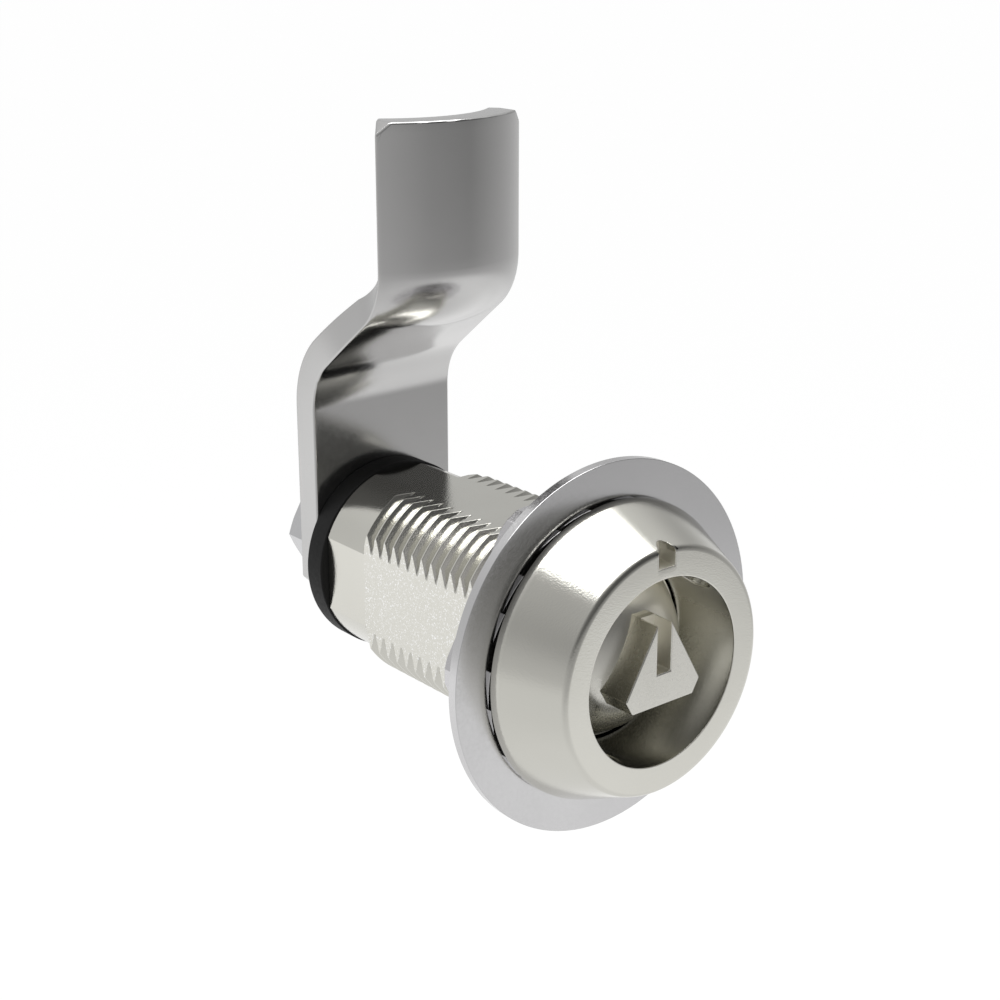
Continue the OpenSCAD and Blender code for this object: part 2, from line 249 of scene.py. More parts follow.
def makeToothRingTree():
    # one tooth repeated round the lock axis
    tree, groupIn, groupOut = startGeometryTree("toothRing", [
        ("Tooth", "NodeSocketObject", None),
        ("Count", "NodeSocketInt", 10),
        ("Material", "NodeSocketMaterial", None),
    ])
    points = addNode(tree, "GeometryNodePoints")
    tree.links.new(groupIn.outputs["Count"], points.inputs["Count"])
    index = addNode(tree, "GeometryNodeInputIndex")
    angle = mathNode(tree, "DIVIDE", mathNode(tree, "MULTIPLY", index.outputs[0],
                                              2 * math.pi), groupIn.outputs["Count"])
    turn = addNode(tree, "ShaderNodeCombineXYZ")
    tree.links.new(angle, turn.inputs["Y"])
    asRotation = addNode(tree, "FunctionNodeEulerToRotation")
    tree.links.new(turn.outputs[0], asRotation.inputs[0])
    tooth = addNode(tree, "GeometryNodeObjectInfo")
    tree.links.new(groupIn.outputs["Tooth"], tooth.inputs["Object"])
    copies = addNode(tree, "GeometryNodeInstanceOnPoints")
    tree.links.new(points.outputs[0], copies.inputs["Points"])
    tree.links.new(tooth.outputs["Geometry"], copies.inputs["Instance"])
    tree.links.new(asRotation.outputs[0], copies.inputs["Rotation"])
    endGeometryTree(tree, copies.outputs[0], groupIn, groupOut)
    return tree


def fromTree(name, tree, values):
    piece = addObject(name, bpy.data.meshes.new(name))
    step = piece.modifiers.new("tree", "NODES")
    step.node_group = tree
    for key, value in values.items():
        setInput(step, tree, key, value)
    applyModifiers(piece)
    work = bmesh.new()
    work.from_mesh(piece.data)
    bmesh.ops.remove_doubles(work, verts=work.verts, dist=0.0001)
    bmesh.ops.triangulate(work, faces=work.faces)
    bmesh.ops.recalc_face_normals(work, faces=work.faces)
    work.to_mesh(piece.data)
    work.free()
    return piece


helixTree = makeHelixTree()
toothTree = makeToothRingTree()


# Plain solids that the pieces are built from, all along the lock axis (+Y)

def solidFrom(name, points, faces):
    work = bmesh.new()
    corners = [work.verts.new(point) for point in points]
    for face in faces:
        work.faces.new([corners[place] for place in face])
    bmesh.ops.recalc_face_normals(work, faces=work.faces)
    mesh = bpy.data.meshes.new(name)
    work.to_mesh(mesh)
    work.free()
    return addObject(name, mesh)


def revolve(name, outline, steps=192):
    # closed outline of (radius, depth) turned round the lock axis; radius 0 is a pole
    points, rows = [], []
    for radius, depth in outline:
        if radius < 1e-6:
            rows.append([len(points)] * steps)
            points.append((0, depth, 0))
            continue
        rows.append(list(range(len(points), len(points) + steps)))
        for place in range(steps):
            angle = 2 * math.pi * (place + 0.5) / steps
            points.append((radius * math.sin(angle), depth, radius * math.cos(angle)))
    faces = []
    for row in range(len(rows)):
        low, high = rows[row], rows[(row + 1) % len(rows)]
        if low[0] == low[1] and high[0] == high[1]:
            continue
        for place in range(steps):
            after = (place + 1) % steps
            face = [low[place], low[after], high[after], high[place]]
            faces.append([corner for slot, corner in enumerate(face)
                          if corner != face[slot - 1]])
    return solidFrom(name, points, faces)


def drawnFaces(count):
    # both ends and the sides of an outline that is drawn out, its second end after its first
    return [list(range(count)), list(range(count, 2 * count))] + [
        [place, (place + 1) % count, (place + 1) % count + count, place + count]
        for place in range(count)]


def prism(name, outline, front, rear):
    # outline of (x, z) points drawn out between two depths
    points = [(x, depth, z) for depth in (front, rear) for x, z in outline]
    return solidFrom(name, points, drawnFaces(len(outline)))


def rod(name, front, rear, diameter, steps=192):
    radius = diameter / 2
    return revolve(name, [(0, front), (radius, front), (radius, rear), (0, rear)], steps)


def block(name, low, high):
    return prism(name, [(low[0], low[2]), (high[0], low[2]), (high[0], high[2]),
                        (low[0], high[2])], low[1], high[1])


def polar(radius, degrees):
    return (radius * math.cos(math.radians(degrees)), radius * math.sin(math.radians(degrees)))


def ringPart(inner, outer, start, end, steps=12):
    # outline of a part of a ring, with radii and angles from +X towards +Z
    turn = [start + (end - start) * place / steps for place in range(steps + 1)]
    return [polar(inner, angle) for angle in turn] + \
        [polar(outer, angle) for angle in reversed(turn)]


def regular(count, apothem, first):
    # regular outline with its flats at a distance from the axis and one corner at an angle
    corner = apothem / math.cos(math.pi / count)
    return [polar(corner, first + 360 * place / count) for place in range(count)]


def hexBlank(name, flats, chamfer, front, rear):
    # hexagon along the axis with its rear corners turned off
    corner = flats / 2 / math.cos(math.radians(30))
    drop = chamfer / math.tan(math.radians(30))
    blank = revolve(name, [(0, front), (corner + past, front), (corner + past, rear - chamfer),
                           (corner, rear - chamfer), (corner - drop, rear), (0, rear)])
    return cut(blank, prism("flats", regular(6, flats / 2, 0), front - past, rear + past),
               "INTERSECT")


def arcPoints(centre, radius, start, end, steps):
    return [(centre[0] + radius * math.cos(math.radians(start + (end - start) * place / steps)),
             centre[1] + radius * math.sin(math.radians(start + (end - start) * place / steps)))
            for place in range(steps + 1)]


def mergeClose(piece, distance=0.002):
    work = bmesh.new()
    work.from_mesh(piece.data)
    bmesh.ops.remove_doubles(work, verts=work.verts, dist=distance)
    bmesh.ops.dissolve_degenerate(work, edges=work.edges, dist=distance)
    loose = [edge for edge in work.edges if not edge.link_faces]
    bmesh.ops.delete(work, geom=loose, context="EDGES")
    work.to_mesh(piece.data)
    work.free()
    return piece


def softenEdges(piece, widths, segments=2, angle=25, clamp=False):
    # rounds the sharp edges; widths is a list of (test of an edge's middle, width in mm)
    mergeClose(piece)
    work = bmesh.new()
    work.from_mesh(piece.data)
    widest = max(width for test, width in widths)
    weight = work.edges.layers.float.new("bevel_weight_edge")
    limit = math.radians(angle)
    for edge in work.edges:
        if len(edge.link_faces) != 2 or edge.calc_face_angle(0) < limit:
            continue
        middle = (edge.verts[0].co + edge.verts[1].co) / 2
        for test, width in widths:
            if test(middle):
                edge[weight] = width / widest
                break
    work.to_mesh(piece.data)
    work.free()
    step = piece.modifiers.new("edges", "BEVEL")
    step.limit_method = "WEIGHT"
    step.width = widest
    step.segments = segments
    step.use_clamp_overlap = clamp
    applyModifiers(piece)
    if "bevel_weight_edge" in piece.data.attributes:
        piece.data.attributes.remove(piece.data.attributes["bevel_weight_edge"])
    return mergeClose(piece, 0.001)


def everywhere(middle):
    return True


# Finishes

def startMaterial(name):
    material = bpy.data.materials.new(name)
    material.use_nodes = True
    tree = material.node_tree
    shader = tree.nodes["Principled BSDF"]
    return material, tree, shader


def makeGrainGroup():
    # fine plated or rubbed grain: a height for a bump and masks for colour and roughness
    tree = bpy.data.node_groups.new("platedGrain", "ShaderNodeTree")
    for name, value in (("Fine scale", 3000.0), ("Broad scale", 60.0)):
        tree.interface.new_socket(name, in_out="INPUT",
                                  socket_type="NodeSocketFloat").default_value = value
    for name in ("Height", "Speckle", "Cloud"):
        tree.interface.new_socket(name, in_out="OUTPUT", socket_type="NodeSocketFloat")
    groupIn = addNode(tree, "NodeGroupInput")
    groupOut = addNode(tree, "NodeGroupOutput")
    place = addNode(tree, "ShaderNodeTexCoord").outputs["Object"]
    fine = addNode(tree, "ShaderNodeTexNoise")
    fine.inputs["Detail"].default_value = 4
    fine.inputs["Roughness"].default_value = 0.65
    grit = addNode(tree, "ShaderNodeTexVoronoi")
    broad = addNode(tree, "ShaderNodeTexNoise")
    broad.inputs["Detail"].default_value = 3
    for texture, scaleName in ((fine, "Fine scale"), (grit, "Fine scale"),
                               (broad, "Broad scale")):
        tree.links.new(place, texture.inputs["Vector"])
        tree.links.new(groupIn.outputs[scaleName], texture.inputs["Scale"])
    height = mixNode(tree, "FLOAT", 0.35, fine.outputs["Fac"], grit.outputs["Distance"])
    speckle = rangeNode(tree, fine.outputs["Fac"], 0.35, 0.7)
    tree.links.new(height, groupOut.inputs["Height"])
    tree.links.new(speckle, groupOut.inputs["Speckle"])
    tree.links.new(broad.outputs["Fac"], groupOut.inputs["Cloud"])
    return tree


grainGroup = makeGrainGroup()


def within(tree, value, bounds):
    # 1 where a length in metres lies between two bounds in millimetres, else 0
    low, high = bounds
    return mathNode(tree, "COMPARE", value, (low + high) / 2 * millimetre,
                    (high - low) / 2 * millimetre)


def paintGlints(tree, base, look):
    # painted glints: white specks in the base colour on the side flats of the threaded stretch,
    # standing in for glints of light
    place = addNode(tree, "ShaderNodeTexCoord").outputs["Object"]
    apart = addNode(tree, "ShaderNodeSeparateXYZ")
    tree.links.new(place, apart.inputs[0])
    side = mathNode(tree, "GREATER_THAN", mathNode(tree, "ABSOLUTE", apart.outputs["X"]),
                    look["beyond"] * millimetre)
    glintSpecks = addNode(tree, "ShaderNodeTexNoise")
    glintSpecks.inputs["Scale"].default_value = look["scale"]
    glintSpecks.inputs["Detail"].default_value = 1
    tree.links.new(place, glintSpecks.inputs["Vector"])
    paintedLightMask = mathNode(tree, "MULTIPLY", side, within(tree, apart.outputs["Y"], look["depths"]))
    paintedLightMask = mathNode(tree, "MULTIPLY", paintedLightMask,
                    rangeNode(tree, glintSpecks.outputs["Fac"], *look["contrast"]))
    return mixNode(tree, "RGBA", paintedLightMask, base, (1, 1, 1, 1))


def paintHollowLightAndGapShade(tree, base, rough, look):
    # painted light: a lighter tone and duller plating in closed-in places, lightened more towards
    # the top, and painted shade darkening the narrow gap round the drive plate; rings are (radii,
    # depths), boxes (x, y, z)
    place = addNode(tree, "ShaderNodeTexCoord").outputs["Object"]
    apart = addNode(tree, "ShaderNodeSeparateXYZ")
    tree.links.new(place, apart.inputs[0])
    flat = addNode(tree, "ShaderNodeVectorMath", operation="MULTIPLY")
    flat.inputs[1].default_value = (1, 0, 1)
    tree.links.new(place, flat.inputs[0])
    length = addNode(tree, "ShaderNodeVectorMath", operation="LENGTH")
    tree.links.new(flat.outputs[0], length.inputs[0])

    def ringMask(radii, depths):
        return mathNode(tree, "MULTIPLY", within(tree, length.outputs["Value"], radii),
                        within(tree, apart.outputs["Y"], depths))

    # painted light grows towards the top of the hollow
    low, high, least = look["paintedLightRise"]
    paintedLightRise = rangeNode(tree, apart.outputs["Z"], low * millimetre, high * millimetre, least)
    paintedLightMask = mathNode(tree, "MULTIPLY", ringMask(*look["ring"]), paintedLightRise)
    for box in look["boxes"]:
        inside = 1
        for axis, bounds in zip("XYZ", box):
            inside = mathNode(tree, "MULTIPLY", within(tree, apart.outputs[axis], bounds),
                              inside)
        paintedLightMask = mathNode(tree, "MAXIMUM", paintedLightMask, inside)
    # painted light: the base colour is lightened towards a pale tone in closed-in places
    base = mixNode(tree, "RGBA", paintedLightMask, base, look["tone"])
    # painted shade: the narrow gap round the drive plate is darkened nearly to black
    base = mixNode(tree, "RGBA", ringMask(*look["gap"]), base, look["gapShade"])
    return base, mixNode(tree, "FLOAT", paintedLightMask, rough, look["rough"])


def platedMetal(name, look):
    # metal, or plastic and rubber by their own settings, with a fine grain and cloudy tone
    material, tree, shader = startMaterial(name)
    shader.inputs["Metallic"].default_value = look.get("metallic", 1.0)
    shader.inputs["Specular IOR Level"].default_value = look.get("specular", 0.5)
    grain = addNode(tree, "ShaderNodeGroup", node_tree=grainGroup)
    grain.inputs["Fine scale"].default_value = look["fineScale"]
    grain.inputs["Broad scale"].default_value = look["broadScale"]
    base = mixNode(tree, "RGBA", grain.outputs["Cloud"], (*look["dark"], 1),
                   (*look["light"], 1))
    rough = rangeNode(tree, grain.outputs["Speckle"], 0.0, 1.0, *look["roughness"])
    # painted glints on the side flats of the neck
    if "paintedGlints" in look:
        base = paintGlints(tree, base, look["paintedGlints"])
    # painted light in the hollows and painted shade in the gap round the drive plate
    if "hollowLightAndGapShade" in look:
        base, rough = paintHollowLightAndGapShade(tree, base, rough, look["hollowLightAndGapShade"])
    tree.links.new(base, shader.inputs["Base Color"])
    tree.links.new(rough, shader.inputs["Roughness"])
    bump = addNode(tree, "ShaderNodeBump")
    bump.inputs["Strength"].default_value = look["bump"]
    bump.inputs["Distance"].default_value = look["bumpDepth"] * millimetre
    tree.links.new(grain.outputs["Height"], bump.inputs["Height"])
    tree.links.new(bump.outputs[0], shader.inputs["Normal"])
    return material


# painted light and painted shade for the castings: a pale, duller tone for closed-in places and a
# near-black tone for the narrow gap
sharedHollowLightAndGapShade = {"tone": (0.97, 0.95, 0.875, 1), "gapShade": (0.012, 0.011, 0.01, 1), "rough": 0.4}
nickelCasting = platedMetal("nickelCasting", {
    "dark": (0.66, 0.65, 0.595), "light": (0.79, 0.78, 0.725), "roughness": (0.1, 0.17),
    "fineScale": 6200, "broadScale": 55, "bump": 0.8, "bumpDepth": 0.013,
    # painted glints: white specks on the side flats of the threaded neck
    "paintedGlints": {"beyond": 9.1, "depths": (-1.2, 25.3), "scale": 6500,
                "contrast": (0.57, 0.72)},
    # painted light in the recess and notch, painted shade in the gap round the drive plate
    "hollowLightAndGapShade": {**sharedHollowLightAndGapShade, "ring": ((0, 9.15), (-8.3, -0.8)), "paintedLightRise": (0, 7, 0.14),
                "gap": ((8.3, 9.15), (-0.8, 0.1)),
                "boxes": [((-1.08, 1.22), (-8.36, -6.24), (10.15, 11.45)),
                          ((-1.08, 1.22), (-7.3, -6.24), (11.44, 11.9))]}})
nickelSpindle = platedMetal("nickelSpindle", {
    "dark": (0.64, 0.63, 0.58), "light": (0.78, 0.77, 0.72), "roughness": (0.2, 0.3),
    "fineScale": 4600, "broadScale": 80, "bump": 0.4, "bumpDepth": 0.012,
    # painted light in the recess and drive slot, painted shade in the gap at the rim of the drive
    # plate
    "hollowLightAndGapShade": {**sharedHollowLightAndGapShade, "ring": ((0, 9.15), (-5.5, 0)), "paintedLightRise": (-2, 5, 0.1),
                "gap": ((8.75, 8.95), (-0.76, 0.1)),
                "boxes": [((-0.92, 0.92), (-8.33, -6.07), (-2, 8))]}})
zincSheet = platedMetal("zincSheet", {
    "dark": (0.62, 0.615, 0.62), "light": (0.74, 0.735, 0.74), "roughness": (0.16, 0.26),
    "fineScale": 3600, "broadScale": 70, "bump": 0.25, "bumpDepth": 0.006})
zincNut = platedMetal("zincNut", {
    "dark": (0.60, 0.59, 0.60), "light": (0.72, 0.71, 0.72), "roughness": (0.2, 0.3),
    "fineScale": 3600, "broadScale": 70, "bump": 0.3, "bumpDepth": 0.008})
zincCam = platedMetal("zincCam", {
    "dark": (0.56, 0.555, 0.55), "light": (0.66, 0.655, 0.65), "roughness": (0.14, 0.21),
    "fineScale": 3000, "broadScale": 60, "bump": 0.15, "bumpDepth": 0.005})
brightSteel = platedMetal("brightSteel", {
    "dark": (0.62, 0.62, 0.63), "light": (0.74, 0.74, 0.75), "roughness": (0.16, 0.26),
    "fineScale": 3000, "broadScale": 80, "bump": 0.25, "bumpDepth": 0.006})
blackPlastic = platedMetal("blackPlastic", {
    "dark": (0.006, 0.006, 0.006), "light": (0.01, 0.01, 0.01), "metallic": 0.0,
    "roughness": (0.5, 0.62), "specular": 0.25, "fineScale": 2400, "broadScale": 80,
    "bump": 0.4, "bumpDepth": 0.01})
blackRubber = platedMetal("blackRubber", {
    "dark": (0.008, 0.008, 0.008), "light": (0.012, 0.012, 0.012), "metallic": 0.0,
    "roughness": (0.6, 0.75), "specular": 0.25, "fineScale": 2400, "broadScale": 80,
    "bump": 0.3, "bumpDepth": 0.01})
print("finishes are made")


# Housing: coned head with its recess and notch, and the threaded neck with four flats

thread = {"crest": 11.0, "root": 10.08, "pitch": 1.5, "rootHalf": 0.12, "flank": 30,
          "start": -0.9, "end": 25.3, "chamfer": 0.6, "clearance": 0.05, "over": 0.07,
          "stepsPerTurn": 96}

housingSizes = {
    "widest": 29.3, "face": 22.9, "front": -8.4, "rear": -1.4, "seat": -1.0,
    "frontRound": 0.7, "rearRound": 2.4, "rearLand": 0.1,
    "recess": (18.2, 18.0), "floor": -0.1, "bore": 12.1,
    "notchWidth": 2.0, "notchDepth": 2.1, "notchWall": 1.1, "notchRound": 11.4,
    "pocketWidth": 4.2, "pocketReach": 9.9, "pocketBack": 2.5, "pocketAngle": 54,
    "neckEnd": 31.65, "plain": 19.86, "flats": (18.3, 19.0),
    "stopInner": 11.1, "stopOuter": 16.4, "stopSpan": (-150.96, -29.04), "stopDepth": 2.1,
    "castEdge": 0.14, "neckEdge": 0.05,
}


def grooveHalf(radius):
    return thread["rootHalf"] + (radius - thread["root"]) * math.tan(math.radians(thread["flank"]))


def threadGroove():
    outer = thread["crest"] + thread["over"]
    turns = (thread["end"] - thread["start"] + thread["pitch"]) / thread["pitch"]
    return fromTree("groove", helixTree, {
        "Turns": turns, "Pitch": thread["pitch"], "Start": thread["start"],
        "Inner radius": thread["root"], "Outer radius": outer,
        "Inner half width": grooveHalf(thread["root"]), "Outer half width": grooveHalf(outer),
        "Steps per turn": thread["stepsPerTurn"]})


def makeHousing(size):
    front, rear = size["front"], size["rear"]
    frontCentre = (size["face"] / 2, front + size["frontRound"])
    rearCentre = (size["widest"] / 2 - size["rearRound"], rear - size["rearLand"])
    across, along = rearCentre[0] - frontCentre[0], rearCentre[1] - frontCentre[1]
    slant = math.degrees(math.atan2(across, along)
                         + math.asin((size["rearRound"] - size["frontRound"])
                                     / math.hypot(across, along)))
    end, chamfer, crest = thread["end"], thread["chamfer"], thread["crest"]
    plain, bore = size["plain"] / 2, size["bore"] / 2
    wide, narrow = size["recess"]
    outline = [(wide / 2, front)] \
        + arcPoints(frontCentre, size["frontRound"], -90, -slant, 10) \
        + arcPoints(rearCentre, size["rearRound"], -slant, 0, 12) \
        + [(size["widest"] / 2, rear), (crest, rear), (crest, end - chamfer),
           (crest - chamfer, end), (plain, end), (plain, size["neckEnd"]),
           (bore, size["neckEnd"]), (bore, size["floor"]), (narrow / 2, size["floor"])]
    head = cut(revolve("housing_body", outline), threadGroove())
    far = thread["crest"] + past
    for quarter in range(4):
        slab = block("slab", (size["flats"][quarter % 2] / 2, 0, -far),
                     (far, size["neckEnd"] + past, far))
        slab.data.transform(Matrix.Rotation(math.radians(90 * quarter), 4, "Y"))
        cut(head, slab)
    cut(head, prism("stopPocket", ringPart(size["stopInner"] / 2, size["stopOuter"] / 2,
                                           *size["stopSpan"], steps=48),
                    size["neckEnd"] - size["stopDepth"], size["neckEnd"] + past))
    half, foot = size["notchWidth"] / 2, wide / 2 + size["notchWall"]
    cut(head, prism("notch", [(-half, foot), (half, foot)]
                    + arcPoints((0, size["notchRound"]), half, 0, 180, 16),
                    front - past, front + size["notchDepth"]))
    for angle in (size["pocketAngle"], size["pocketAngle"] + 180):
        pocket = rod("pocket", 0, size["pocketReach"], size["pocketWidth"], 64)
        direction = Vector((math.cos(math.radians(angle)), 0, math.sin(math.radians(angle))))
        turn = Vector((0, 1, 0)).rotation_difference(direction).to_matrix().to_4x4()
        pocket.data.transform(Matrix.Translation((0, front + size["pocketBack"], 0)) @ turn)
        cut(head, pocket)
    return softenEdges(head, [(lambda middle: middle.y < size["seat"] + 0.01, size["castEdge"]),
                              (everywhere, size["neckEdge"])])


finishPiece(makeHousing(housingSizes), nickelCasting, "housing", ["housing"])
print("housing is made")


# Serrated washer: thin disc with ten pairs of ratchet ramps on its front

washerSizes = {"outer": 36.4, "front": -1.0, "hole": 22.1, "pairs": 10, "rampHeight": 0.34,
               "rampStart": 29, "rampSpans": (14.75, 11.0), "inner": 24.6, "outerRamp": 29.2,
               "sink": 0.5, "play": 0.23, "over": 0.2, "edge": 0.05, "rampEdge": 0.04}


def makeRamps(size, name, start, span):
    # a wedge inside a part of a ring: upright at its first side, falling along its length
    front = size["front"]
    low, high = front + size["sink"], front - size["rampHeight"]
    length = size["outerRamp"] / 2 * math.sin(math.radians(span))
    ramp = prism("ramp", ringPart(size["inner"] / 2, size["outerRamp"] / 2,
                                  start + size["play"], start + span - size["play"]),
                 high - size["over"], low)
    profile = [(low, 0), (high, 0), (front, length), (low, length)]
    angle = math.radians(start)
    points = [(along * math.cos(angle) - across * math.sin(angle), depth,
               along * math.sin(angle) + across * math.cos(angle))
              for along in (0, size["outerRamp"]) for depth, across in profile]
    cut(ramp, solidFrom("wedge", points, drawnFaces(len(profile))), "INTERSECT")
    ring = fromTree(name, toothTree, {"Tooth": ramp, "Count": size["pairs"]})
    removePiece(ramp)
    return ring


def makeWasher(size):
    outer, hole = size["outer"] / 2, size["hole"] / 2
    disc = revolve("serrated_washer_disc", [(hole, size["front"]), (outer, size["front"]),
                                            (outer, 0), (hole, 0)], 256)
    start = size["rampStart"]
    for name, span in zip(("longRamps", "shortRamps"), size["rampSpans"]):
        cut(disc, makeRamps(size, name, start, span), "UNION")
        start += span
    return softenEdges(disc, [(lambda middle: abs(math.hypot(middle.x, middle.z) - outer) < 0.2,
                               size["edge"]),
                              (lambda middle: middle.y < size["front"] - 0.05,
                               size["rampEdge"])])


finishPiece(makeWasher(washerSizes), zincSheet, "washer",
            ["serrated_washer"], 8)
print("washer is made")


# Hex nut with blunted corners and its own thread

nutSizes = {"flats": 28.0, "corners": 31.5, "thick": 4.0, "chamfer": 0.5, "bore": 10.2,
            "mouth": 1.1, "mouthDepth": 0.6, "turns": 6.0, "innerPlay": 0.08, "outerPlay": 0.05,
            "edge": 0.1, "edgeBeyond": 12, "boreEdge": 0.03}


def makeNut(size):
    thick = size["thick"]
    nut = hexBlank("hex_nut_body", size["flats"], size["chamfer"], 0, thick)
    cut(nut, prism("corners", regular(6, size["corners"] / 2, 30), -past, thick + past),
        "INTERSECT")
    bore, mouth, depth = size["bore"], size["bore"] + size["mouth"], size["mouthDepth"]
    cut(nut, revolve("bore", [(0, -0.5), (mouth, -0.5), (bore, depth), (bore, thick - depth),
                              (mouth, thick + 0.5), (0, thick + 0.5)]))
    pitch = thread["pitch"]
    inner, outer = bore - size["innerPlay"], thread["crest"] + size["outerPlay"]

    def grooveWidth(radius):
        return pitch / 2 - grooveHalf(radius) + thread["clearance"]

    cut(nut, fromTree("nutGroove", helixTree, {
        "Turns": size["turns"], "Pitch": pitch, "Start": thread["start"] - pitch / 2,
        "Inner radius": inner, "Outer radius": outer, "Inner half width": grooveWidth(inner),
        "Outer half width": grooveWidth(outer), "Steps per turn": thread["stepsPerTurn"]}))
    softenEdges(nut, [(lambda middle: math.hypot(middle.x, middle.z) > size["edgeBeyond"],
                       size["edge"]), (everywhere, size["boreEdge"])])
    for vertex in nut.data.vertices:
        vertex.co.y = min(max(vertex.co.y, 0), thick)
    return nut


finishPiece(makeNut(nutSizes), zincNut, "nut", ["hex_nut"])
print("nut is made")


# Spindle: domed drive plate with its blunted triangle, shaft, O-ring groove and square end

spindleSizes = {"front": -8.4, "floor": -0.1, "rimWidth": 17.6, "rimThick": 0.7,
                "domeWidth": 17.2, "domeCurve": (0.02, 0.00063), "domeSteps": 28,
                "driveSize": 8.0, "driveInradius": 3.15,
                "slotWidth": 1.7, "slotDepth": 2.3, "slotReach": 8,
                "shaft": 12.0, "square": 8.0, "squareEnd": 37.0, "shoulder": 31.7,
                "grooveFrom": 5.0, "grooveTo": 7.0, "grooveWidth": 9.0,
                "tapFrom": 22.6, "tapWidth": 6.1, "domeEdge": 0.04, "driveEdge": 0.14,
                "driveEdgeFront": -6.2}


def makeSpindle(size):
    rim, dome = size["rimWidth"] / 2, size["domeWidth"] / 2
    low = size["floor"] - size["rimThick"]
    flat, steep = size["domeCurve"]
    outline = []
    for step in range(size["domeSteps"] + 1):
        radius = dome * step / size["domeSteps"]
        fall = flat * (dome ** 2 - radius ** 2) + steep * (dome ** 4 - radius ** 4)
        outline.append((radius, low - fall))
    shaft, groove = size["shaft"] / 2, size["grooveWidth"] / 2
    outline += [(rim, low), (rim, size["floor"]), (shaft, size["floor"]),
                (shaft, size["grooveFrom"]), (groove, size["grooveFrom"]),
                (groove, size["grooveTo"]), (shaft, size["grooveTo"]),
                (shaft, size["shoulder"]), (0, size["shoulder"])]
    spindle = revolve("spindle_body", outline)
    drive = prism("drive", regular(3, size["driveInradius"], 90), size["front"], low)
    cut(drive, prism("blunted", regular(3, size["driveSize"] - size["driveInradius"], -90),
                     size["front"] - past, low + past), "INTERSECT")
    cut(spindle, drive, "UNION")
    half = size["square"] / 2
    square = prism("square", [(-half, -half), (half, -half), (half, half), (-half, half)],
                   size["shoulder"] - past, size["squareEnd"])
    cut(square, rod("round", 0, size["squareEnd"] + past, size["shaft"]), "INTERSECT")
    cut(spindle, square, "UNION")
    cut(spindle, block("slot", (-size["slotWidth"] / 2, size["front"] - past, 0),
                       (size["slotWidth"] / 2, size["front"] + size["slotDepth"],
                        size["slotReach"])))
    cut(spindle, rod("tap", size["tapFrom"], size["squareEnd"] + past, size["tapWidth"], 96))
    return softenEdges(spindle, [
        (lambda middle: middle.y < size["driveEdgeFront"], size["driveEdge"]),
        (lambda middle: middle.y > low - 0.05, size["domeEdge"])], 3)


finishPiece(makeSpindle(spindleSizes), nickelSpindle, "rotor", ["spindle"])

ringSizes = {"middle": 6.0, "thick": 1.5, "ringRadius": 5.27}
oRing = revolve("o_ring", [(ringSizes["ringRadius"] + x, ringSizes["middle"] + y) for x, y in
                           arcPoints((0, 0), ringSizes["thick"] / 2, 0, 345, 23)])
finishPiece(oRing, blackRubber, "rotor", ["spindle_o_ring"])
print("spindle is made")


# Stop ring with its lug, between the neck and the cam

stopSizes = {"outer": 20.2, "front": 31.7, "rear": 34.2, "lugFront": 29.7, "lugInner": 12.4,
             "lugOuter": 16.2, "lugSpan": (-60, -30), "lugSink": 1.2, "square": 8.1,
             "edge": 0.15}


def makeStopRing(size):
    outer, half = size["outer"] / 2, size["square"] / 2
    ring = revolve("stop_ring_body", [(0, size["front"]), (outer, size["front"]),
                                      (outer, size["rear"]), (0, size["rear"])])
    cut(ring, prism("lug", ringPart(size["lugInner"] / 2, size["lugOuter"] / 2,
                                    *size["lugSpan"]), size["lugFront"],
                    size["front"] + size["lugSink"]), "UNION")
    cut(ring, block("hole", (-half, size["front"] - past, -half),
                    (half, size["rear"] + past, half)))
    return softenEdges(ring, [(everywhere, size["edge"])], 3)


finishPiece(makeStopRing(stopSizes), blackPlastic, "rotor", ["stop_ring"])
print("stop ring is made")


# Cam: cranked sheet whose blade is pressed to a shallow arch

camSizes = {"width": 17.4, "thick": 3.2, "front": 34.2, "top": 46.85, "bottom": -8.0,
            "crank": 11.7, "bendStart": 16.7, "bend": 51.0, "lowerRound": 6.5, "upperRound": 4.2,
            "bulge": 3.2, "tipChamfer": 1.2, "heelChamfer": 5.9, "square": 8.1,
            "bendSteps": 16, "slopeSteps": 12, "widthSteps": 32, "bladeSteps": 14,
            "edge": 0.22, "holeEdge": 0.12}


def camStations(size):
    bend = math.radians(size["bend"])
    lower, upper = size["lowerRound"], size["upperRound"] + size["thick"]
    drop = 1 - math.cos(bend)
    slope = (size["crank"] - (lower + upper) * drop) / math.sin(bend)
    slopeY = size["front"] - lower * drop
    slopeZ = size["bendStart"] + lower * math.sin(bend)
    endY, endZ = slopeY - slope * math.sin(bend), slopeZ + slope * math.cos(bend)
    fadeSteps = size["slopeSteps"] + size["bendSteps"]

    def fade(part):
        return part * part * (3 - 2 * part)

    stations = [(size["front"], size["bottom"], 0, 0)]
    for step in range(size["bendSteps"] + 1):
        angle = bend * step / size["bendSteps"]
        stations.append((size["front"] - lower * (1 - math.cos(angle)),
                         size["bendStart"] + lower * math.sin(angle), angle, 0))
    for step in range(1, size["slopeSteps"] + 1):
        length = slope * step / size["slopeSteps"]
        stations.append((slopeY - length * math.sin(bend), slopeZ + length * math.cos(bend),
                         bend, fade(step / fadeSteps)))
    for step in range(1, size["bendSteps"] + 1):
        angle = bend * (1 - step / size["bendSteps"])
        stations.append((endY - upper * (math.cos(angle) - math.cos(bend)),
                         endZ + upper * (math.sin(bend) - math.sin(angle)), angle,
                         fade((size["slopeSteps"] + step) / fadeSteps)))
    low = stations[-1][1]
    for step in range(1, size["bladeSteps"] + 1):
        stations.append((size["front"] - size["crank"],
                         low + (size["top"] - low) * step / size["bladeSteps"], 0, 1))
    return stations


